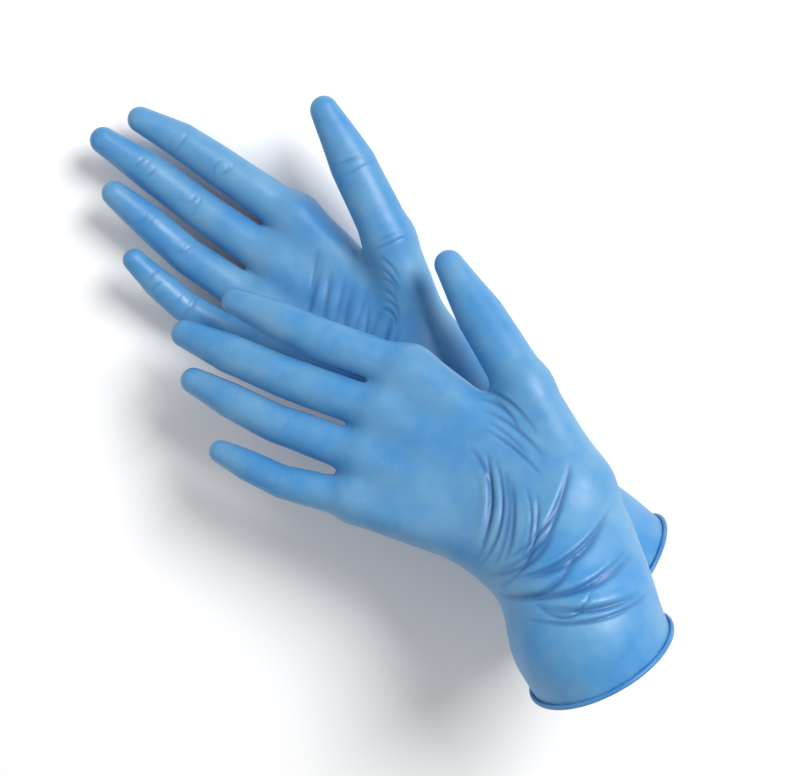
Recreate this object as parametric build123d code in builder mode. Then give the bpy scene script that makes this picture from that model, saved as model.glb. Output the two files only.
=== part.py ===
"""A pair of long-cuff disposable nitrile gloves, filled out as if hands were still in them.

The right glove lies on a table, palm up. The left glove lies across it, palm down.
Each glove is one dip-moulded film with a rolled bead at the mouth of the cuff. The film is
split here into palm, cuff, thumb and fingers, which meet face to face.

Millimetres. +X runs towards the cuffs, +Y towards the thumbs and +Z up from the table.
"""
import os
from math import asin, cos, degrees, radians, sin, sqrt

from build123d import *

# ---------------------------------------------------------------- film
FINGER_FILM = 0.14
PALM_FILM = 0.12
CUFF_FILM = 0.10
BEAD_RADIUS = 1.0            # the rolled edge, as wide as 2 mm of rolled film
BEAD_STAND_OFF = 0.8         # how far the bead's core stands out from the film, in mm

# ---------------------------------------------------------------- sizes of one glove
PALM_LENGTH = 84.0           # wrist to the knuckle of the middle finger
CUFF_LENGTH = 118.5          # wrist to the rim, with the film pulled flat
CUFF_RADIUS = 30.2           # outside of the film at the mouth: 190 mm round
RIM_LAND = 12.0              # straight band behind the rim
WRIST_HALF_WIDTH = 31.5
WRIST_HALF_DEPTH = 19.5
PALM_HALF_DEPTHS = (17.0, 14.5)   # a third and two thirds of the way to the knuckles
PALM_BULGE = 1.5             # how far the palm's edge swells between the wrist and the webs
KNUCKLE_HALF_DEPTH = 12.5
WEB_REACH = 15.0             # knuckles to the webs between the fingers
WEB_HALF_DEPTH = 8.0
WEB_OVERLAP = 0.3            # how much neighbouring fingers press together at the knuckles
FINGER_DEPTH = 0.92          # a finger's depth as a part of its width
ROOT_DEPTH = 10.0            # how far a finger's root reaches back into the palm
ROOT_NARROWING = 3.5         # how much slimmer the root is than the knuckle
STACK_STEP = 3.2             # how far the left wrist stands above the right cuff's height

FINGERS = ("index", "middle", "ring", "little")
BONES = {                    # knuckle to first joint, to second joint, to the tip's centre
    "index": (39.0, 23.0, 19.5),
    "middle": (46.0, 26.5, 21.5),
    "ring": (42.0, 22.0, 18.5),
    "little": (33.0, 16.0, 13.5),
    "thumb": (44.0, 36.0, 25.5),
}
GIRTHS = {                   # half widths at the knuckle, the two joints and the tip
    "index": (10.0, 9.3, 8.4, 7.0),
    "middle": (10.0, 9.0, 8.5, 7.2),
    "ring": (9.4, 8.4, 7.9, 6.8),
    "little": (8.4, 7.3, 6.9, 6.0),
    "thumb": (13.0, 11.4, 10.4, 7.4),
}
THUMB_ROOT = 6.0             # half width of the thumb's root, inside the palm
DIGIT_STEPS = 9              # evenly spaced sections along a finger or a thumb
TIP_RISES = (0.5, 0.87)      # sections of the round tip, in tip radii beyond its centre

# ---------------------------------------------------------------- how each glove lies
# Angles in degrees. A yaw turns a run in plan and a pitch tips it up.
RIGHT_WRIST_X, RIGHT_WRIST_Y = 25.4, -4.1
LEFT_WRIST_X, LEFT_WRIST_Y = 97.4, -24.1
RIM_DIP = 10.0               # the right rim tips forward
KNUCKLE_HEIGHT = KNUCKLE_HALF_DEPTH + 0.9
RIM_HEIGHT = (CUFF_RADIUS + BEAD_STAND_OFF) * cos(radians(RIM_DIP))
RIM_HEIGHT += BEAD_RADIUS * (1 - sin(radians(RIM_DIP)))
TABLE_PITCH = degrees(asin((RIM_HEIGHT - KNUCKLE_HEIGHT) / (PALM_LENGTH + CUFF_LENGTH)))
RIGHT_WRIST_Z = KNUCKLE_HEIGHT + PALM_LENGTH * sin(radians(TABLE_PITCH))
BAND_HEIGHT = RIM_HEIGHT + RIM_LAND * sin(radians(RIM_DIP))
CUFF_RISE = degrees(asin((BAND_HEIGHT - RIGHT_WRIST_Z) / (CUFF_LENGTH - RIM_LAND)))
LEFT_WRIST_Z = 2 * CUFF_RADIUS + WRIST_HALF_DEPTH + STACK_STEP

GLOVES = {
    "right": {
        "wrist": (RIGHT_WRIST_X, RIGHT_WRIST_Y, RIGHT_WRIST_Z),
        "hand": (-10.6, -TABLE_PITCH),
        "knuckle_lead": {"index": 9.0, "middle": 1.5, "ring": -7.0, "little": -13.0},
        "index": ((-3.0, -1.4, 5.5), (2.0, 5.0, 8.0)),
        "middle": ((-2.5, -5.0, -1.5), (0.0, 6.0, 10.0)),
        "ring": ((-2.0, -9.5, -8.0), (2.0, 8.0, 12.0)),
        "little": ((0.0, -9.0, -14.0), (6.0, 14.0, 20.0)),
        "thumb": ((-38.0, -31.7, -30.0), (12.0, 8.0, 4.0)),
        "thumb_root": (16.5, 20.5, 4.0),
        "gathered": 0.0,
        "cuff_yaws": (-10.8, -11.3, -11.3),
        "cuff_pitches": (CUFF_RISE, CUFF_RISE, CUFF_RISE),
        "rim": (-5.0, -RIM_DIP),
        "cuff_narrowing": ((2.0, 8.5), (3.3, 4.6)),
    },
    "left": {
        "wrist": (LEFT_WRIST_X, LEFT_WRIST_Y, LEFT_WRIST_Z),
        "hand": (-3.6, -15.3),
        "knuckle_lead": {"index": 0.5, "middle": -1.5, "ring": -6.0, "little": -13.0},
        "index": ((12.0, 7.5, 8.0), (-8.0, -12.0, -16.0)),
        "middle": ((12.6, 9.0, 8.5), (-8.0, -12.0, -16.0)),
        "ring": ((12.6, 6.0, 5.0), (-9.0, -13.0, -16.0)),
        "little": ((19.0, 8.0, 6.0), (-10.0, -14.0, -16.0)),
        "thumb": ((-29.6, -27.5, -27.0), (-14.0, -16.0, -10.0)),
        "thumb_root": (0.5, 23.0, 0.0),
        "gathered": 61.5,
        "cuff_yaws": (-29.0, -37.0, -46.0),
        "cuff_pitches": (18.0, 14.0, 12.0),
        "rim": (-28.0, -13.0),
        "cuff_narrowing": ((0.8, 7.0), (1.0, 3.0)),
    },
}

UP = Vector(0, 0, 1)


def towards_tips(yaw, pitch):
    """Unit vector of a run that leads from the cuff towards the fingertips."""
    flat = cos(radians(pitch))
    return Vector(-flat * cos(radians(yaw)), -flat * sin(radians(yaw)), sin(radians(pitch)))


def towards_rim(yaw, pitch):
    """Unit vector of a run that leads from the wrist towards the rim."""
    flat = cos(radians(pitch))
    return Vector(flat * cos(radians(yaw)), flat * sin(radians(yaw)), sin(radians(pitch)))


def across(run):
    """Level unit vector square to a run, which becomes the long side of a section."""
    return UP.cross(run).normalized()


def section_plane(point, run):
    """Plane of a section at a point, square to a run."""
    return Plane(origin=point, x_dir=across(run), z_dir=run)


def chain(start, lengths, yaws, pitches, heading):
    """Points of a chain of straight runs, and the run after each point."""
    points, runs = [start], []
    for length, yaw, pitch in zip(lengths, yaws, pitches):
        runs.append(heading(yaw, pitch))
        points.append(points[-1] + runs[-1] * length)
    return points, runs


def lofted(sections, inset=0.0, tip=None, end_wall=0.0):
    """Solid through elliptical sections (plane, half width, half depth), each inset by a wall."""
    with BuildPart() as body:
        outlines = []
        for plane, half_width, half_depth in sections:
            if plane is sections[-1][0]:
                plane = plane.offset(-end_wall)
            with BuildSketch(plane) as outline:
                Ellipse(half_width - inset, half_depth - inset)
            outlines.append(outline.sketch)
        if tip is not None:
            outlines.append(Vertex(*(tip - sections[-1][0].z_dir * inset)))
        loft(sections=outlines)
    return body.part


def width_along(distance, marks, widths):
    """Half width at a distance along a digit, run straight between its marks."""
    for start, end, first, last in zip(marks, marks[1:], widths, widths[1:]):
        if distance <= end:
            return first + (last - first) * (distance - start) / (end - start)
    return widths[-1]


def digit_sections(start, girths, lengths, yaws, pitches, root):
    """Evenly spaced sections of a finger or a thumb, and the end point of its round tip."""
    root_depth, root_width = root
    joints, runs = chain(start, lengths, yaws, pitches, towards_tips)
    points = [start - runs[0] * root_depth] + joints
    with BuildLine() as bone:
        Spline(*points)
    line = bone.line
    marks = [0.0]
    for length in (root_depth,) + tuple(lengths):
        marks.append(marks[-1] + length)
    widths = (root_width,) + tuple(girths)
    sections = []
    for step in range(DIGIT_STEPS + 1):
        share = step / DIGIT_STEPS
        width = width_along(share * marks[-1], marks, widths)
        sections.append((section_plane(line @ share, line % share), width, width * FINGER_DEPTH))
    end, run, girth = line @ 1, line % 1, girths[-1]
    for rise in TIP_RISES:
        width = girth * sqrt(1 - rise ** 2)
        sections.append((section_plane(end + run * girth * rise, run), width, width * FINGER_DEPTH))
    return sections, end + run * girth


def knuckle_points(pose):
    """Knuckles of one glove, spaced by the fingers' own girths across the palm."""
    forward = towards_tips(*pose["hand"])
    side = -across(forward)
    wrist = Vector(*pose["wrist"])
    reach = {"middle": 0.0}
    press = WEB_OVERLAP
    reach["index"] = GIRTHS["middle"][0] + GIRTHS["index"][0] - press
    reach["ring"] = -(GIRTHS["middle"][0] + GIRTHS["ring"][0] - press)
    reach["little"] = reach["ring"] - (GIRTHS["ring"][0] + GIRTHS["little"][0] - press)
    knuckles = {}
    for name in FINGERS:
        ahead = PALM_LENGTH + pose["knuckle_lead"][name]
        drop = GIRTHS[name][0] - GIRTHS["middle"][0]
        knuckles[name] = wrist + forward * ahead + side * reach[name] + UP * drop
    return knuckles


def palm_sections(pose, knuckles):
    """Sections of the palm from the wrist to the webs between the fingers."""
    forward = towards_tips(*pose["hand"])
    wrist = Vector(*pose["wrist"])
    row = knuckles["index"] - knuckles["little"]
    row_side = row.normalized()
    edge_index = knuckles["index"] + row_side * GIRTHS["index"][0]
    edge_little = knuckles["little"] - row_side * GIRTHS["little"][0]
    centre = (edge_index + edge_little) * 0.5
    half_width = (edge_index - edge_little).length / 2
    row_run = row_side.cross(UP).normalized()
    if row_run.dot(forward) < 0:
        row_run = -row_run
    row_run = (row_run + forward * 0.6).normalized()
    cuff_run = -towards_rim(pose["cuff_yaws"][0], pose["cuff_pitches"][0])
    wrist_run = (forward + cuff_run).normalized()
    sections = [(section_plane(wrist, wrist_run), WRIST_HALF_WIDTH, WRIST_HALF_DEPTH)]
    for share, half_depth in zip((1 / 3, 2 / 3), PALM_HALF_DEPTHS):
        run = (wrist_run * (1 - share) + row_run * share).normalized()
        width = WRIST_HALF_WIDTH + (half_width - WRIST_HALF_WIDTH) * share + PALM_BULGE
        sections.append((section_plane(wrist + (centre - wrist) * share, run), width, half_depth))
    sections.append((section_plane(centre, row_run), half_width, KNUCKLE_HALF_DEPTH))
    webs = centre + row_run * WEB_REACH
    sections.append((section_plane(webs, row_run), half_width - PALM_BULGE, WEB_HALF_DEPTH))
    return sections


def cuff_sections(pose, wrist_section):
    """Sections of the cuff from the wrist to the straight band, and the plane of the band."""
    worn = CUFF_LENGTH - pose["gathered"] - RIM_LAND
    steps = len(pose["cuff_yaws"])
    points, _ = chain(Vector(*pose["wrist"]), [worn / steps] * steps,
                      pose["cuff_yaws"], pose["cuff_pitches"], towards_rim)
    rim_run = towards_rim(*pose["rim"])
    wrist_run = wrist_section[0].z_dir
    sizes = [(CUFF_RADIUS - slimmer, CUFF_RADIUS - thinner) for slimmer, thinner in pose["cuff_narrowing"]]
    sizes.append((CUFF_RADIUS, CUFF_RADIUS))
    sections = [wrist_section]
    for step, (point, (half_width, half_depth)) in enumerate(zip(points[1:], sizes), 1):
        # The sections turn evenly from the wrist's plane to the rim's, so that they never cross.
        turned = (wrist_run * (1 - step / steps) - rim_run * (step / steps)).normalized()
        sections.append((section_plane(point, turned), half_width, half_depth))
    return sections, Plane(origin=points[-1], x_dir=across(rim_run), z_dir=rim_run)


def cuff_solid(sections, band, inset=0.0):
    """The cuff from the wrist to the rim, inset by a wall, with its straight band."""
    with BuildPart() as body:
        add(lofted(sections, inset))
        with BuildSketch(band):
            Circle(CUFF_RADIUS - inset)
        extrude(amount=RIM_LAND)
    return body.part


def save(piece, name):
    """Label a finished piece and write it to its own file."""
    piece.part.label = name
    export_step(piece.part, f"parts/{name}.step")


os.makedirs("parts", exist_ok=True)

for side, pose in GLOVES.items():
    knuckles = knuckle_points(pose)
    palm_outline = palm_sections(pose, knuckles)
    palm_outer = lofted(palm_outline)
    palm_inner = lofted(palm_outline, PALM_FILM, end_wall=PALM_FILM)

    # Each digit's outside and inside, in the order in which they join the palm.
    digits = {}
    for name in FINGERS:
        yaws, pitches = pose[name]
        root = (ROOT_DEPTH, GIRTHS[name][0] - ROOT_NARROWING)
        outline, tip = digit_sections(knuckles[name], GIRTHS[name], BONES[name], yaws, pitches, root)
        digits[f"{name}_finger"] = (lofted(outline, 0.0, tip), lofted(outline, FINGER_FILM, tip))
    forward = towards_tips(*pose["hand"])
    ahead, aside, above = pose["thumb_root"]
    thumb_start = Vector(*pose["wrist"]) + forward * ahead - across(forward) * aside + UP * above
    yaws, pitches = pose["thumb"]
    thumb_run = towards_tips(yaws[0], pitches[0])
    swell = BONES["thumb"][0] * 0.4
    outline, tip = digit_sections(thumb_start + thumb_run * swell, GIRTHS["thumb"],
                                  (BONES["thumb"][0] - swell,) + BONES["thumb"][1:],
                                  yaws, pitches, (swell, THUMB_ROOT))
    digits["thumb"] = (lofted(outline, 0.0, tip), lofted(outline, FINGER_FILM, tip))

    with BuildPart() as palm:
        add(palm_outer)
        add(palm_inner, mode=Mode.SUBTRACT)
        for _, inside in digits.values():
            add(inside, mode=Mode.SUBTRACT)
    save(palm, f"{side}_palm")

    neighbour = None
    for name, (outside, inside) in digits.items():
        with BuildPart() as digit:
            add(outside)
            add(palm_outer, mode=Mode.SUBTRACT)
            add(inside, mode=Mode.SUBTRACT)
            if neighbour is not None:
                add(neighbour, mode=Mode.SUBTRACT)
        neighbour = outside
        save(digit, f"{side}_{name}")

    outline, band = cuff_sections(pose, palm_outline[0])
    cuff_inner = cuff_solid(outline, band, CUFF_FILM)
    with BuildPart() as cuff:
        add(cuff_solid(outline, band))
        add(cuff_inner, mode=Mode.SUBTRACT)
    save(cuff, f"{side}_cuff")

    rim = band.offset(RIM_LAND - BEAD_RADIUS)
    with BuildPart(rim) as bead:
        Torus(CUFF_RADIUS + BEAD_STAND_OFF, BEAD_RADIUS)
        Cylinder(CUFF_RADIUS, 4 * BEAD_RADIUS, mode=Mode.SUBTRACT)
    save(bead, f"{side}_cuff_bead")
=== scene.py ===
# %% [markdown]
# A pair of long-cuff nitrile gloves, filled out as if worn. The right glove lies palm up on a
# table and the left glove lies palm down across it.
# Each real glove is one film, dipped on a porcelain hand and stripped off it. So each glove is one
# continuous mesh here. Its shape is worked out as a distance field, because a field blends
# fingers into a palm as softly as liquid rubber does, with no seams to hide.

# %% Frame and shared helpers
import math

import bmesh
import bpy
import numpy as np
import openvdb
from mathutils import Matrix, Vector, noise


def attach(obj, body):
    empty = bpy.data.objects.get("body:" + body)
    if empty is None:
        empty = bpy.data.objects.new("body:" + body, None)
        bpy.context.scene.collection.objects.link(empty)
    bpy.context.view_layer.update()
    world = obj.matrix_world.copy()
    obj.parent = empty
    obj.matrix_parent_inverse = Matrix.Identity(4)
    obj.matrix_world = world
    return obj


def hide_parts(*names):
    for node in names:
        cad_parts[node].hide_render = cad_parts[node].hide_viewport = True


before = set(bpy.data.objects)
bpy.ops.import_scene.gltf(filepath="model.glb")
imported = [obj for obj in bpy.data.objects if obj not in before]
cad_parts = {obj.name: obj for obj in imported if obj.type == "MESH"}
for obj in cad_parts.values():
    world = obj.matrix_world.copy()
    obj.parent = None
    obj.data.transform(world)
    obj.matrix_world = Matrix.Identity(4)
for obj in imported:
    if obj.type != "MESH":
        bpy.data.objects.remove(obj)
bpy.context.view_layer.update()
MM = 0.001

# %% [markdown]
# The sizes below are those of the frame: one shared hand, and for each glove how it lies.
# A hand is a chain of straight runs. Each run leads from a joint towards the fingertip, with a
# yaw that turns it in plan and a pitch that tips it up.

# %% Sizes of one glove, in millimetres
PALM_LENGTH = 84.0
CUFF_LENGTH = 118.5
CUFF_RADIUS = 30.2
RIM_LAND = 12.0
WRIST_HALF_WIDTH, WRIST_HALF_DEPTH = 31.5, 19.5
KNUCKLE_HALF_DEPTH = 12.5
BEAD_RADIUS = 1.0
BEAD_STAND_OFF = 0.8
KNUCKLE_PRESS = 0.3
FILM = 0.13
FINGERS = ("index", "middle", "ring", "little")
BONES = {
    "index": (39.0, 23.0, 19.5),
    "middle": (46.0, 26.5, 21.5),
    "ring": (42.0, 22.0, 18.5),
    "little": (33.0, 16.0, 13.5),
    "thumb": (44.0, 36.0, 25.5),
}
GIRTHS = {
    "index": (10.0, 9.3, 8.4, 7.0),
    "middle": (10.0, 9.0, 8.5, 7.2),
    "ring": (9.4, 8.4, 7.9, 6.8),
    "little": (8.4, 7.3, 6.9, 6.0),
    "thumb": (13.0, 11.4, 10.4, 7.4),
}

# %% [markdown]
# The right glove rests on its knuckles and on the bead at its cuff. So its slope isn't chosen: it
# follows from the height of the knuckles, the height of the rim and the length between them.

# %% How each glove lies
RIM_DIP = 10.0
STACK_STEP = 3.2
KNUCKLE_HEIGHT = KNUCKLE_HALF_DEPTH + 0.9
RIM_HEIGHT = (CUFF_RADIUS + BEAD_STAND_OFF) * math.cos(math.radians(RIM_DIP))
RIM_HEIGHT += BEAD_RADIUS * (1 - math.sin(math.radians(RIM_DIP)))
TABLE_PITCH = math.degrees(math.asin((RIM_HEIGHT - KNUCKLE_HEIGHT) / (PALM_LENGTH + CUFF_LENGTH)))
RIGHT_WRIST_Z = KNUCKLE_HEIGHT + PALM_LENGTH * math.sin(math.radians(TABLE_PITCH))
BAND_HEIGHT = RIM_HEIGHT + RIM_LAND * math.sin(math.radians(RIM_DIP))
CUFF_RISE = math.degrees(math.asin((BAND_HEIGHT - RIGHT_WRIST_Z) / (CUFF_LENGTH - RIM_LAND)))
LEFT_WRIST_Z = 2 * CUFF_RADIUS + WRIST_HALF_DEPTH + STACK_STEP

POSES = {
    "right": {
        "wrist": (25.4, -4.1, RIGHT_WRIST_Z),
        "hand": (-10.6, -TABLE_PITCH),
        "lead": {"index": 9.0, "middle": 1.5, "ring": -7.0, "little": -13.0},
        "index": ((-3.0, -1.4, 5.5), (2.0, 5.0, 8.0)),
        "middle": ((-2.5, -5.0, -1.5), (0.0, 6.0, 10.0)),
        "ring": ((-2.0, -9.5, -8.0), (2.0, 8.0, 12.0)),
        "little": ((0.0, -9.0, -14.0), (6.0, 14.0, 20.0)),
        "thumb": ((-38.0, -31.7, -30.0), (12.0, 8.0, 4.0)),
        "thumb_root": (16.5, 20.5, 4.0),
        "gathered": 0.0,
        "cuff_yaws": (-10.8, -11.3, -11.3),
        "cuff_pitches": (CUFF_RISE, CUFF_RISE, CUFF_RISE),
        "rim": (-5.0, -RIM_DIP),
        "cuff_narrowing": ((2.0, 8.5), (3.3, 4.6)),
    },
    "left": {
        "wrist": (97.4, -24.1, LEFT_WRIST_Z),
        "hand": (-3.6, -15.3),
        "lead": {"index": 0.5, "middle": -1.5, "ring": -6.0, "little": -13.0},
        "index": ((12.0, 7.5, 8.0), (-8.0, -12.0, -16.0)),
        "middle": ((12.6, 9.0, 8.5), (-8.0, -12.0, -16.0)),
        "ring": ((12.6, 6.0, 5.0), (-9.0, -13.0, -16.0)),
        "little": ((19.0, 8.0, 6.0), (-10.0, -14.0, -16.0)),
        "thumb": ((-29.6, -27.5, -27.0), (-14.0, -16.0, -10.0)),
        "thumb_root": (0.5, 23.0, 0.0),
        "gathered": 61.5,
        "cuff_yaws": (-29.0, -37.0, -46.0),
        "cuff_pitches": (18.0, 14.0, 12.0),
        "rim": (-28.0, -13.0),
        "cuff_narrowing": ((0.8, 7.0), (1.0, 3.0)),
    },
}


def heading(yaw, pitch, sign=-1.0):
    """Unit vector of a run: towards the fingertips for sign -1, towards the rim for sign 1."""
    yaw, pitch = math.radians(yaw), math.radians(pitch)
    flat = math.cos(pitch)
    return np.array([sign * flat * math.cos(yaw), sign * flat * math.sin(yaw), math.sin(pitch)])


def chain(start, lengths, yaws, pitches, sign=-1.0):
    """Points of a chain of straight runs."""
    points = [np.array(start, float)]
    for length, yaw, pitch in zip(lengths, yaws, pitches):
        points.append(points[-1] + heading(yaw, pitch, sign) * length)
    return points


def sideways(run):
    """Level unit vector square to a run, on the thumb's side."""
    side = np.cross(run, (0.0, 0.0, 1.0))
    side /= np.linalg.norm(side)
    return side if side[1] > 0 else -side


def skeleton(pose):
    """Every joint of one glove, and the stations of its cuff."""
    forward = heading(*pose["hand"])
    side = sideways(forward)
    wrist = np.array(pose["wrist"])
    first = {name: GIRTHS[name][0] for name in FINGERS}
    reach = {"middle": 0.0, "index": first["middle"] + first["index"] - KNUCKLE_PRESS}
    reach["ring"] = -(first["middle"] + first["ring"] - KNUCKLE_PRESS)
    reach["little"] = reach["ring"] - (first["ring"] + first["little"] - KNUCKLE_PRESS)
    digits = {}
    for name in FINGERS:
        knuckle = wrist + forward * (PALM_LENGTH + pose["lead"][name]) + side * reach[name]
        knuckle[2] += first[name] - first["middle"]
        digits[name] = chain(knuckle, BONES[name], *pose[name])
    ahead, aside, above = pose["thumb_root"]
    root = wrist + forward * ahead + side * aside + np.array((0.0, 0.0, above))
    digits["thumb"] = chain(root, BONES["thumb"], *pose["thumb"])

    worn = CUFF_LENGTH - pose["gathered"] - RIM_LAND
    steps = len(pose["cuff_yaws"])
    line = chain(wrist, [worn / steps] * steps, pose["cuff_yaws"], pose["cuff_pitches"], 1.0)
    sizes = [(WRIST_HALF_WIDTH, WRIST_HALF_DEPTH)]
    sizes += [(CUFF_RADIUS - slimmer, CUFF_RADIUS - thinner) for slimmer, thinner in pose["cuff_narrowing"]]
    sizes += [(CUFF_RADIUS, CUFF_RADIUS)]
    rim_run = heading(*pose["rim"], sign=1.0)
    rim = line[-1] + rim_run * RIM_LAND
    stations = [(*point, *size) for point, size in zip(line, sizes)]
    return {"digits": digits, "stations": stations, "rim": rim, "rim_run": rim_run,
            "wrist": wrist, "forward": forward, "side": side}


# %% [markdown]
# A distance field says how far any point is from the surface, and is negative inside. A finger
# bone is a round cone, which is a sphere that shrinks as it travels. A smooth minimum joins two
# fields with a soft fillet between them, as wide as its blend length.

# %% Distance field of a glove
def round_cone(points, start, end, first, last, depth=1.0):
    """Distance to a cone with round ends, pressed flat to a depth, for many points."""
    if depth != 1.0:
        axis = (end - start) / np.linalg.norm(end - start)
        up = np.array((0.0, 0.0, 1.0)) - axis * axis[2]
        up /= np.linalg.norm(up)
        rise = (points - start) @ up
        points = points + rise[:, None] * (1.0 / depth - 1.0) * up
    run = end - start
    square = run @ run
    drop = first - last
    slope = square - drop * drop
    offset = points - start
    along = offset @ run
    beyond = along - square
    across = ((offset * square - along[:, None] * run) ** 2).sum(1)
    bound = np.sign(drop) * drop * drop * across
    distance = (np.sqrt(across * slope / square) + along * drop) / square - first
    near = np.sign(along) * slope * along ** 2 * square < bound
    far = np.sign(beyond) * slope * beyond ** 2 * square > bound
    distance = np.where(near, np.sqrt(across + along ** 2 * square) / square - first, distance)
    distance = np.where(far, np.sqrt(across + beyond ** 2 * square) / square - last, distance)
    return distance * min(depth, 1.0)


def soft_min(a, b, blend):
    """Smooth minimum of two fields, with a fillet as wide as blend."""
    mix = np.clip(0.5 + 0.5 * (b - a) / blend, 0.0, 1.0)
    return b * (1.0 - mix) + a * mix - blend * mix * (1.0 - mix)


def smooth_stations(stations, count=4):
    """Catmull-Rom points through stations of any width."""
    known = np.array(stations)
    known = np.vstack([2 * known[0] - known[1], known, 2 * known[-1] - known[-2]])
    smooth = []
    for before, start, end, after in zip(known, known[1:], known[2:], known[3:]):
        for step in range(count):
            t = step / count
            smooth.append(0.5 * (2 * start + (end - before) * t
                                 + (2 * before - 5 * start + 4 * end - after) * t ** 2
                                 + (3 * start - before - 3 * end + after) * t ** 3))
    smooth.append(known[-2])
    return np.array(smooth)


FINGER_GAP = 1.6
TIP_SLIMMING = 0.87
TABLE_CLEARANCE = 0.05


def slim_tip(joints, girths):
    """A fingertip drawn in to a slimmer end that still reaches as far."""
    run = joints[-1] - joints[-2]
    run /= np.linalg.norm(run)
    drawn_in = girths[-1] * (1 - TIP_SLIMMING)
    return joints[-1] + run * drawn_in, girths[-1] - drawn_in


def parted(a, b, gap):
    """Union of two fields with a narrow gap kept where they meet."""
    return np.maximum(np.minimum(a, b), (gap - np.abs(a - b)) / 2)


PALM_BLEND, THUMB_BLEND, FINGER_BLEND = 9.0, 11.0, 5.0
PALM_ROOTS = ((6.0, 15.0), (5.0, 6.0), (5.0, -5.0), (7.0, -14.5))
FINGER_DEPTH = 0.92


# %% Field of a whole glove
def glove_field(points, bones):
    """Distance from many points to the outside of a glove, with its cuff run on past the rim."""
    digits = bones["digits"]
    wrist, forward, side = bones["wrist"], bones["forward"], bones["side"]
    stations = smooth_stations(bones["stations"])
    beyond = stations[-1].copy()
    beyond[:3] += bones["rim_run"] * (RIM_LAND + 14.0)
    stations = np.vstack([stations, beyond])
    field = None
    for start, end in zip(stations, stations[1:]):
        depth = (start[4] + end[4]) / (start[3] + end[3])
        cone = round_cone(points, start[:3], end[:3], start[3], end[3], depth)
        field = cone if field is None else soft_min(field, cone, 2.5)
    palm = None
    for name, (ahead, aside) in zip(FINGERS, PALM_ROOTS):
        root = wrist + forward * ahead + side * aside
        cone = round_cone(points, root, digits[name][0], 13.5, GIRTHS[name][0] * 1.2)
        palm = cone if palm is None else soft_min(palm, cone, PALM_BLEND)
    thumb, girth = digits["thumb"], GIRTHS["thumb"]
    palm = soft_min(palm, round_cone(points, thumb[0], thumb[1], girth[0], girth[1]), THUMB_BLEND)
    field = soft_min(field, palm, PALM_BLEND)
    digit = round_cone(points, thumb[1], thumb[2], girth[1], girth[2], FINGER_DEPTH)
    tip, tip_girth = slim_tip(thumb, girth)
    digit = np.minimum(digit, round_cone(points, thumb[2], tip, girth[2], tip_girth, FINGER_DEPTH))
    field = soft_min(field, digit, 4.0)
    fingers = None
    for name in FINGERS:
        tip, tip_girth = slim_tip(digits[name], GIRTHS[name])
        joints, girth = digits[name][:-1] + [tip], GIRTHS[name][:-1] + (tip_girth,)
        digit = None
        for number in range(3):
            cone = round_cone(points, joints[number], joints[number + 1],
                              girth[number], girth[number + 1], FINGER_DEPTH)
            digit = cone if digit is None else np.minimum(digit, cone)
        fingers = digit if fingers is None else parted(fingers, digit, FINGER_GAP)
    field = soft_min(field, fingers, FINGER_BLEND)
    return np.maximum(field, TABLE_CLEARANCE - points[:, 2])


# %% From field to mesh
VOXEL = 1.25


def field_mesh(name, bones):
    """Quad mesh of a glove's outside, open at the rim, in millimetres."""
    joints = [point for digit in bones["digits"].values() for point in digit]
    corners = np.array(joints + [bones["rim"], bones["wrist"]])
    low = corners.min(0) - (20, 42, 40)
    high = corners.max(0) + (40, 42, 40)
    low[2] = max(low[2], -4.0)
    axes = [np.arange(a, b, VOXEL) for a, b in zip(low, high)]
    shape = tuple(len(axis) for axis in axes)
    values = np.empty(shape, np.float32)
    plane = np.stack(np.meshgrid(axes[1], axes[2], indexing="ij"), -1).reshape(-1, 2)
    for row, x in enumerate(axes[0]):
        points = np.column_stack([np.full(len(plane), x), plane])
        values[row] = glove_field(points, bones).reshape(shape[1:])
    grid = openvdb.FloatGrid(background=20.0)
    grid.copyFromArray(values)
    verts, quads = grid.convertToQuads(isovalue=0.0)
    mesh = bpy.data.meshes.new(name)
    verts = verts * VOXEL + low
    mesh.from_pydata(verts.tolist(), [], quads.tolist())
    mesh.update()
    print(name, "grid", shape, "quads", len(quads))
    return mesh


def gradient(points, bones, reach=0.3):
    """Direction in which the field grows, at many points."""
    slope = np.zeros_like(points)
    for axis in range(3):
        step = np.zeros(3)
        step[axis] = reach
        slope[:, axis] = glove_field(points + step, bones) - glove_field(points - step, bones)
    return slope / (np.linalg.norm(slope, axis=1)[:, None] + 1e-9)


def mesh_points(mesh):
    """The mesh's points as an array."""
    points = np.empty(len(mesh.vertices) * 3)
    mesh.vertices.foreach_get("co", points)
    return points.reshape(-1, 3)


# %% [markdown]
# Thin film that is stretched over a hand and then let go keeps creases, and they follow rules.
# They cross each finger at its joints, they run across a cuff that is pushed up at the wrist,
# they fan out of the thumb's root, and they lie side by side over the hollow of the palm.
# So each family is worked out from the hand's own joints, with a count, a spacing and a length,
# and a fixed seed makes the folds of a family differ a little.

# %% Shape of one fold
class Fold:
    """A crease seen from above: a shallow bow, deepest in the middle."""

    def __init__(self, start, end, bow, width, depth):
        start, end = np.array(start[:2]), np.array(end[:2])
        run = end - start
        square = np.array((-run[1], run[0])) / (np.linalg.norm(run) + 1e-9)
        share = np.linspace(0, 1, 13)[:, None]
        self.line = start + run * share + square * bow * 4 * share * (1 - share)
        self.width, self.depth = width, depth


# %% [markdown]
# A finger's film wrinkles where the finger bends, so these folds are placed at its joints.

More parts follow.
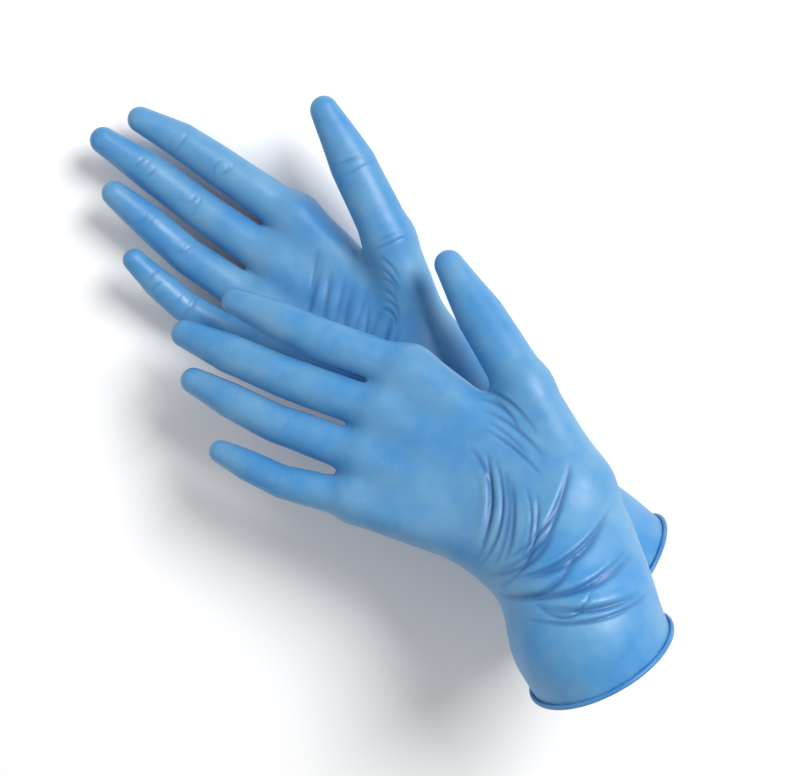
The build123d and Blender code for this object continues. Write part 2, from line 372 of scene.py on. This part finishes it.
# %% Folds at the joints
def joint_folds(bones, names, depth, rng):
    """A few short, fine folds across each finger joint."""
    folds = []
    for name in names:
        joints = bones["digits"][name]
        for number in (1, 2):
            run = joints[number + 1] - joints[number - 1]
            run /= np.linalg.norm(run)
            half = sideways(run) * GIRTHS[name][number] * 0.72
            for step in (-3.2, -0.8, 1.4):
                middle = joints[number] + run * (step + rng.uniform(-0.9, 0.9))
                shift = sideways(run) * rng.uniform(-2.5, 2.5)
                reach = half * rng.uniform(0.45, 1.1)
                folds.append(Fold(middle - reach + shift, middle + reach + shift,
                                  rng.uniform(-1.4, 1.4), 0.55, depth * rng.uniform(0.4, 1.0)))
    return folds


# %% [markdown]
# The folds of the wrist need places on the hand and on the cuff alike. So one line runs along the
# middle of both, and a place is a distance along it and a distance to the side.

# %% Middle line of a glove
def spine_point(bones, distance, aside):
    """Point over the hand's middle line: distance from the wrist to the rim, or back if negative."""
    if distance <= 0:
        return bones["wrist"] - bones["forward"] * distance + bones["side"] * aside
    place, left = bones["wrist"], distance
    centres = [np.array(station[:3]) for station in bones["stations"]] + [bones["rim"]]
    for start, end in zip(centres, centres[1:]):
        length = np.linalg.norm(end - start)
        run = (end - start) / length
        place = start + run * min(left, length)
        left -= length
        if left <= 0:
            break
    return place + sideways(run) * aside


# %% Folds at the wrist and at the thumb's root
FOLD_GATHER = 18.0           # distance past the wrist where the folds draw together, in mm
GATHER_SHARE = 0.62


def wrist_folds(bones, first, last, spacing, depth, rng):
    """Folds across the wrist, drawn together on the little finger's side and open on the thumb's."""
    folds = []
    for number, distance in enumerate(np.arange(first, last, spacing)):
        low = -WRIST_HALF_WIDTH * rng.uniform(0.55, 0.98)
        high = WRIST_HALF_WIDTH * (rng.uniform(0.1, 0.4) if number % 3 == 1 else rng.uniform(0.5, 0.92))
        if distance < -18.0:
            high = WRIST_HALF_WIDTH * rng.uniform(0.15, 0.4)
        gathered = FOLD_GATHER + (distance - FOLD_GATHER) * GATHER_SHARE
        width = rng.uniform(0.6, 1.4)
        deep = depth * rng.uniform(0.45, 1.0) * (1.2 if distance > 0 else 1.0)
        folds.append(Fold(spine_point(bones, gathered + rng.uniform(-2, 2), low),
                          spine_point(bones, distance + rng.uniform(-2, 2), high),
                          rng.uniform(-7, -2), width, deep))
    return folds


def thumb_root_folds(bones, count, start_at, length, depth, rng):
    """Folds that run from the thumb's root towards the wrist, side by side."""
    folds = []
    for number in range(count):
        aside = 31.0 - 3.2 * number
        back = start_at + 3.0 * number
        start = spine_point(bones, back, aside)
        end = spine_point(bones, back + length * rng.uniform(0.6, 1.0), aside - 2.0)
        folds.append(Fold(start, end, rng.uniform(1, 3), 0.7, depth * rng.uniform(0.5, 1.0)))
    return folds


# %% Folds over the hollow of the palm
def palm_folds(bones, count, spacing, depth, rng):
    """Soft folds side by side over the hollow of the palm."""
    folds = []
    for number in range(count):
        distance = -76.0 + spacing * number
        folds.append(Fold(spine_point(bones, distance, 17.0 + rng.uniform(-4, 4)),
                          spine_point(bones, distance + 14.0, -8.0 + rng.uniform(-6, 6)),
                          rng.uniform(-2, 2), rng.uniform(0.8, 1.8), depth * rng.uniform(0.4, 1.0)))
    return folds


# %% [markdown]
# A fold is a groove with a small ridge along one side, where the film that it took up lies. Both
# fade out towards its ends.

# %% Relief of all folds
RIDGE_SHARE = 0.45
# Creases are painted darker as shade; this is the fold depth at which that painted shade is full.
CREASE_SHADE_FULL_DEPTH = 0.6            # depth in mm at which a crease is as dark as it gets


def fold_relief(points, folds):
    """Height of the film and the strength of painted crease shade at many points, from all folds."""
    height, crease_shade = np.zeros(len(points)), np.zeros(len(points))
    for fold in folds:
        low, high = fold.line.min(0) - 7, fold.line.max(0) + 7
        near = np.flatnonzero(((points[:, :2] > low) & (points[:, :2] < high)).all(1))
        if not len(near):
            continue
        flat = points[near, :2]
        best, share, side = np.full(len(near), 99.0), np.zeros(len(near)), np.ones(len(near))
        for number, (start, end) in enumerate(zip(fold.line, fold.line[1:])):
            run = end - start
            along = np.clip((flat - start) @ run / (run @ run), 0, 1)
            away = flat - start - along[:, None] * run
            distance = np.linalg.norm(away, axis=1)
            closer = distance < best
            best[closer] = distance[closer]
            share[closer] = ((number + along) / (len(fold.line) - 1))[closer]
            side[closer] = np.sign(run[0] * away[:, 1] - run[1] * away[:, 0])[closer]
        taper = np.sin(np.pi * np.clip(share, 0, 1)) ** 0.7
        groove = np.exp(-(best / fold.width) ** 2) * taper
        ridge = np.exp(-((best * side - 2.2 * fold.width) / (1.5 * fold.width)) ** 2) * taper
        height[near] += fold.depth * (RIDGE_SHARE * ridge - groove)
        # Painted shade: this mask says how dark the finish paints each groove, deeper for deeper folds.
        crease_shade[near] = np.maximum(crease_shade[near], groove * min(fold.depth / CREASE_SHADE_FULL_DEPTH, 1.0))
    return height, crease_shade


# %% All folds of one glove
def folds_of(side, bones):
    """All folds of one glove."""
    rng = np.random.default_rng(11 if side == "left" else 5)
    if side == "left":
        folds = joint_folds(bones, FINGERS, 0.14, rng)
        folds += wrist_folds(bones, -46.0, 36.0, 4.4, 1.05, rng)
        folds += thumb_root_folds(bones, 5, -58.0, 34.0, 0.55, rng)
        return folds
    folds = joint_folds(bones, FINGERS + ("thumb",), 0.34, rng)
    folds += palm_folds(bones, 12, 5.6, 0.5, rng)
    folds += thumb_root_folds(bones, 6, -52.0, 14.0, 0.35, rng)
    return folds


# %% [markdown]
# The mesh is made finer only where a fold passes, then pressed in along the folds. Only film that
# faces up has them. The slack between folds sinks in by a slow noise and never swells out, so a
# glove stays inside the space that its CAD solids hold.

# %% Film with its folds
SLACK_DEPTH = 0.5
SLACK_LENGTH = 17.0
TRIANGLE_BUDGET = 92000


def cut_at_rim(shaper, bones):
    """Open the cuff at the rim's plane and even out the grid."""
    cut = shaper.verts[:] + shaper.edges[:] + shaper.faces[:]
    bmesh.ops.bisect_plane(shaper, geom=cut, plane_co=bones["rim"], plane_no=bones["rim_run"],
                           clear_outer=True, dist=0.05)
    inner = [vert for vert in shaper.verts if not vert.is_boundary]
    for _ in range(3):
        bmesh.ops.smooth_vert(shaper, verts=inner, factor=0.5, use_axis_x=True, use_axis_y=True,
                              use_axis_z=True)


def refine_along(shaper, folds):
    """Split the edges that lie close to a fold, once."""
    points = np.array([vert.co[:] for vert in shaper.verts])
    crease_shade = fold_relief(points, folds)[1]
    shaper.verts.index_update()
    close = [edge for edge in shaper.edges
             if max(crease_shade[edge.verts[0].index], crease_shade[edge.verts[1].index]) > 0.08
             and edge.verts[0].normal.z > 0.05]
    bmesh.ops.subdivide_edges(shaper, edges=close, cuts=1, use_grid_fill=True)


def slack(points):
    """Slow unevenness of the film between 0 and 1."""
    return np.array([0.5 + 0.5 * noise.noise(Vector(point) / SLACK_LENGTH) for point in points])


# %% Both films
gloves = {}
for side, pose in POSES.items():
    bones = skeleton(pose)
    folds = folds_of(side, bones)
    mesh = field_mesh(f"{side}_glove_film", bones)
    shaper = bmesh.new()
    shaper.from_mesh(mesh)
    cut_at_rim(shaper, bones)
    bmesh.ops.recalc_face_normals(shaper, faces=shaper.faces[:])
    shaper.normal_update()
    refine_along(shaper, folds)
    bmesh.ops.triangulate(shaper, faces=shaper.faces[:])
    shaper.to_mesh(mesh)
    shaper.free()
    points = mesh_points(mesh)
    for _ in range(2):
        points -= gradient(points, bones) * glove_field(points, bones)[:, None]
    outward = gradient(points, bones, 0.6)
    height, crease_shade = fold_relief(points, folds)
    facing = np.clip((outward[:, 2] - 0.05) / 0.4, 0, 1)
    rim_distance = (bones["rim"] - points) @ bones["rim_run"]
    calm = np.clip((rim_distance - 1.0) / 8.0, 0, 1)
    points += outward * ((height * facing - SLACK_DEPTH * slack(points)) * calm)[:, None]
    points[:, 2] = np.maximum(points[:, 2], TABLE_CLEARANCE)
    mesh.vertices.foreach_set("co", (points * MM).ravel())
    # This mask drives painted shade: the finish darkens the film along its creases from it.
    layer = mesh.attributes.new("crease_shade", "FLOAT", "POINT")
    layer.data.foreach_set("value", (crease_shade * facing * calm).astype(np.float32))
    mesh.update()
    mesh.shade_smooth()
    film = bpy.data.objects.new(f"{side}_glove_film", mesh)
    bpy.context.collection.objects.link(film)
    gloves[side] = (film, bones)
    print(side, "film", len(mesh.vertices), "points,", len(folds), "folds")

# %% [markdown]
# The bead is the film's own edge, rolled up on itself while it was still wet. It follows the rim
# wherever the rim goes, so a node tree finds the film's open edge, stands it out a little, and
# sweeps a round roll along it. A slow noise makes the roll thicker and thinner, as on a real one.

# %% Rolled bead at each rim
def add_node(tree, kind, inputs=(), **settings):
    """Add a node with its settings; an input is a value or the socket that feeds it."""
    node = tree.nodes.new(kind)
    for name, value in settings.items():
        setattr(node, name, value)
    for name, value in dict(inputs).items():
        if isinstance(value, bpy.types.NodeSocket):
            tree.links.new(value, node.inputs[name])
        else:
            node.inputs[name].default_value = value
    return node


def linear(code):
    """Linear colour from an sRGB hex code."""
    parts = [int(code[i:i + 2], 16) / 255 for i in (1, 3, 5)]
    return [c / 12.92 if c <= 0.04045 else ((c + 0.055) / 1.055) ** 2.4 for c in parts] + [1.0]


def bead_tree(finish):
    """Node tree that rolls a bead along the open edge of a film."""
    tree = bpy.data.node_groups.new("rolled_bead", "GeometryNodeTree")
    sockets = tree.interface
    sockets.new_socket("Film", in_out="INPUT", socket_type="NodeSocketGeometry")
    for name, value in (("Roll radius", BEAD_RADIUS * MM), ("Stand off", BEAD_STAND_OFF * MM),
                        ("Uneven", 0.12), ("Uneven length", 9 * MM)):
        sockets.new_socket(name, in_out="INPUT", socket_type="NodeSocketFloat").default_value = value
    sockets.new_socket("Rim centre", in_out="INPUT", socket_type="NodeSocketVector")
    sockets.new_socket("Bead", in_out="OUTPUT", socket_type="NodeSocketGeometry")
    given = tree.nodes.new("NodeGroupInput").outputs
    faces = add_node(tree, "GeometryNodeInputMeshEdgeNeighbors")
    edge = add_node(tree, "FunctionNodeCompare", data_type="INT", operation="EQUAL")
    tree.links.new(faces.outputs["Face Count"], edge.inputs[2])
    edge.inputs[3].default_value = 1
    loop = add_node(tree, "GeometryNodeMeshToCurve",
                    {"Mesh": given["Film"], "Selection": edge.outputs["Result"]})
    loop = add_node(tree, "GeometryNodeResampleCurve", {"Curve": loop.outputs["Curve"], "Count": 220})
    place = add_node(tree, "GeometryNodeInputPosition").outputs["Position"]
    away = add_node(tree, "ShaderNodeVectorMath", {0: place, 1: given["Rim centre"]},
                    operation="SUBTRACT")
    away = add_node(tree, "ShaderNodeVectorMath", {0: away.outputs[0]}, operation="NORMALIZE")
    away = add_node(tree, "ShaderNodeVectorMath", {0: away.outputs[0], "Scale": given["Stand off"]},
                    operation="SCALE")
    loop = add_node(tree, "GeometryNodeSetPosition",
                    {"Geometry": loop.outputs["Curve"], "Offset": away.outputs[0]})
    fine = add_node(tree, "ShaderNodeMath", {0: 1.0, 1: given["Uneven length"]}, operation="DIVIDE")
    grain = add_node(tree, "ShaderNodeTexNoise", {"Vector": place, "Scale": fine.outputs[0], "Detail": 1.0})
    grain = add_node(tree, "ShaderNodeMath", {0: grain.outputs[0], 1: 0.5}, operation="SUBTRACT")
    grain = add_node(tree, "ShaderNodeMath", {0: grain.outputs[0], 1: given["Uneven"], 2: 1.0},
                     operation="MULTIPLY_ADD")
    thick = add_node(tree, "ShaderNodeMath", {0: grain.outputs[0], 1: given["Roll radius"]},
                     operation="MULTIPLY")
    circle = add_node(tree, "GeometryNodeCurvePrimitiveCircle", {"Resolution": 14, "Radius": 1.0})
    sweep = add_node(tree, "GeometryNodeCurveToMesh",
                     {"Curve": loop.outputs["Geometry"], "Profile Curve": circle.outputs["Curve"],
                      "Scale": thick.outputs[0]})
    roll = add_node(tree, "GeometryNodeRealizeInstances", {"Geometry": sweep.outputs["Mesh"]})
    roll = add_node(tree, "GeometryNodeSetMaterial", {"Geometry": roll.outputs["Geometry"],
                                                      "Material": finish})
    result = tree.nodes.new("NodeGroupOutput")
    tree.links.new(roll.outputs["Geometry"], result.inputs["Bead"])
    return tree


def rolled_bead(side, film, bones, tree):
    """Plain mesh of one glove's bead."""
    modifier = film.modifiers.new("bead", "NODES")
    modifier.node_group = tree
    for item in tree.interface.items_tree:
        if item.in_out == "INPUT" and item.name == "Rim centre":
            modifier[item.identifier] = [float(value) * MM for value in bones["rim"]]
    shape = bpy.data.meshes.new_from_object(film.evaluated_get(bpy.context.evaluated_depsgraph_get()))
    film.modifiers.remove(modifier)
    shaper = bmesh.new()
    shaper.from_mesh(shape)
    bmesh.ops.recalc_face_normals(shaper, faces=shaper.faces[:])
    shaper.to_mesh(shape)
    shaper.free()
    shape.name = f"{side}_rolled_bead"
    shape.shade_smooth()
    bead = bpy.data.objects.new(shape.name, shape)
    bpy.context.collection.objects.link(bead)
    print(shape.name, len(shape.polygons), "faces")
    return bead


# %% [markdown]
# Nitrile film is a dyed rubber, a tenth of a millimetre thick, with a satin face left by the
# ceramic former and by chlorine washing. Light goes a little way into it, so shadows are soft and
# blue. Where it was stretched it is paler and greyer, and its creases are painted a deeper blue
# as shade.

# %% Nitrile film
STRETCH_PATCH = 26 * MM
CLOUD = 7 * MM
GRAIN = 0.45 * MM


def nitrile_finish(name, mid, stretched, painted_crease_shade, roughness):
    """Satin dyed nitrile, with a lighter tint where stretched and painted shade in its creases."""
    finish = bpy.data.materials.new(name)
    finish.use_nodes = True
    tree = finish.node_tree
    shader = tree.nodes["Principled BSDF"]
    place = add_node(tree, "ShaderNodeTexCoord").outputs["Object"]
    patch = add_node(tree, "ShaderNodeTexNoise",
                     {"Vector": place, "Scale": 1 / STRETCH_PATCH, "Detail": 2.0, "Roughness": 0.5})
    cloud = add_node(tree, "ShaderNodeTexNoise",
                     {"Vector": place, "Scale": 1 / CLOUD, "Detail": 3.0, "Roughness": 0.6})
    both = add_node(tree, "ShaderNodeMath", {0: cloud.outputs[0], 1: 0.3, 2: patch.outputs[0]},
                    operation="MULTIPLY_ADD")
    share = add_node(tree, "ShaderNodeMapRange",
                     {"Value": both.outputs[0], "From Min": 0.5, "From Max": 0.85})
    tint = add_node(tree, "ShaderNodeMix", {0: share.outputs[0]}, data_type="RGBA")
    tint.inputs[6].default_value = linear(mid)
    tint.inputs[7].default_value = linear(stretched)
    # Painted shade: the crease mask mixes a deeper blue into the grooves of the folds.
    fold = add_node(tree, "ShaderNodeAttribute", attribute_name="crease_shade").outputs["Fac"]
    fold = add_node(tree, "ShaderNodeMath", {0: fold, 1: 0.8}, operation="MULTIPLY")
    deep = add_node(tree, "ShaderNodeMix", {0: fold.outputs[0]}, data_type="RGBA")
    tree.links.new(tint.outputs[2], deep.inputs[6])
    deep.inputs[7].default_value = linear(painted_crease_shade)
    tree.links.new(deep.outputs[2], shader.inputs["Base Color"])
    gloss = add_node(tree, "ShaderNodeMapRange",
                     {"Value": cloud.outputs[0], "From Min": 0.35, "From Max": 0.65,
                      "To Min": roughness - 0.05, "To Max": roughness + 0.07})
    tree.links.new(gloss.outputs[0], shader.inputs["Roughness"])
    grain = add_node(tree, "ShaderNodeTexNoise", {"Vector": place, "Scale": 1 / GRAIN, "Detail": 2.0})
    fine = add_node(tree, "ShaderNodeBump",
                    {"Height": grain.outputs[0], "Strength": 0.1, "Distance": 0.03 * MM})
    waves = add_node(tree, "ShaderNodeBump",
                     {"Height": cloud.outputs[0], "Strength": 0.35, "Distance": 0.5 * MM,
                      "Normal": fine.outputs[0]})
    tree.links.new(waves.outputs[0], shader.inputs["Normal"])
    shader.inputs["IOR"].default_value = 1.52
    shader.inputs["Subsurface Weight"].default_value = 0.12
    shader.inputs["Subsurface Radius"].default_value = (0.4, 0.8, 1.6)
    shader.inputs["Subsurface Scale"].default_value = 1.5 * MM
    return finish


# The third colour of each finish is the painted shade in its creases.
nitrile_film = nitrile_finish("nitrile_film_sky_blue_satin", "#3F86C2", "#6298C2", "#15508C", 0.42)
nitrile_bead = nitrile_finish("nitrile_bead_rolled_deep_blue", "#3478B4", "#4E8CC0", "#15508C", 0.38)

# %% [markdown]
# The film gets its real thickness last, because that doubles its faces. Decimate first takes
# points away where the film is smooth and keeps them in the folds.

# %% Finish and declare each glove
bead_nodes = bead_tree(nitrile_bead)
for side, (film, bones) in gloves.items():
    bead = rolled_bead(side, film, bones, bead_nodes)
    film.data.materials.append(nitrile_film)
    thin = film.modifiers.new("thin", "DECIMATE")
    thin.ratio = min(1.0, TRIANGLE_BUDGET / len(film.data.polygons))
    wall = film.modifiers.new("wall", "SOLIDIFY")
    wall.thickness = FILM * MM
    wall.offset = -1.0
    shape = bpy.data.meshes.new_from_object(film.evaluated_get(bpy.context.evaluated_depsgraph_get()))
    film.modifiers.clear()
    film.data = shape
    print(side, "film", len(shape.polygons), "triangles with its wall")
    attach(film, f"{side}_glove")
    parts = ["palm", "thumb", "cuff"] + [f"{name}_finger" for name in FINGERS]
    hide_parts(*[f"{side}_{part}" for part in parts])
    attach(bead, f"{side}_glove")
    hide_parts(f"{side}_cuff_bead")

# %% [markdown]
# A matt white table, a large soft light from the far right, and a weaker one from the near left
# show the roundness of the fingers without hard shadows.

# %% Table, camera and light
floor = bpy.data.meshes.new("table_top")
floor.from_pydata([(-3, -3, 0), (3, -3, 0), (3, 3, 0), (-3, 3, 0)], [], [(0, 1, 2, 3)])
table_top = bpy.data.objects.new("table_top", floor)
bpy.context.collection.objects.link(table_top)
paper = bpy.data.materials.new("matt_white_paper")
paper.use_nodes = True
paper.node_tree.nodes["Principled BSDF"].inputs["Base Color"].default_value = linear("#F4F4F4")
paper.node_tree.nodes["Principled BSDF"].inputs["Roughness"].default_value = 0.9
floor.materials.append(paper)

camera_data = bpy.data.cameras.new("camera")
camera_data.lens = 68.8
camera = bpy.data.objects.new("camera", camera_data)
camera.location = (0.0174, -0.0071, 0.700)
camera.rotation_euler = (0.0, 0.0, math.radians(32.0))
bpy.context.collection.objects.link(camera)
bpy.context.scene.camera = camera


def area_light(name, place, aim, size, power):
    """Soft square light."""
    data = bpy.data.lights.new(name, "AREA")
    data.size = size
    data.energy = power
    lamp = bpy.data.objects.new(name, data)
    lamp.location = place
    lamp.rotation_euler = (Vector(aim) - Vector(place)).to_track_quat("-Z", "Y").to_euler()
    bpy.context.collection.objects.link(lamp)


area_light("key_softbox", (0.35, 0.9, 1.3), (0, 0, 0.05), 0.7, 25)
area_light("fill_softbox", (-0.9, -0.6, 1.2), (0, 0, 0.05), 1.2, 3)
world = bpy.data.worlds.new("studio")
world.use_nodes = True
world.node_tree.nodes["Background"].inputs["Color"].default_value = (1, 1, 1, 1)
world.node_tree.nodes["Background"].inputs["Strength"].default_value = 0.46
bpy.context.scene.world = world
bpy.context.scene.view_settings.view_transform = "Standard"
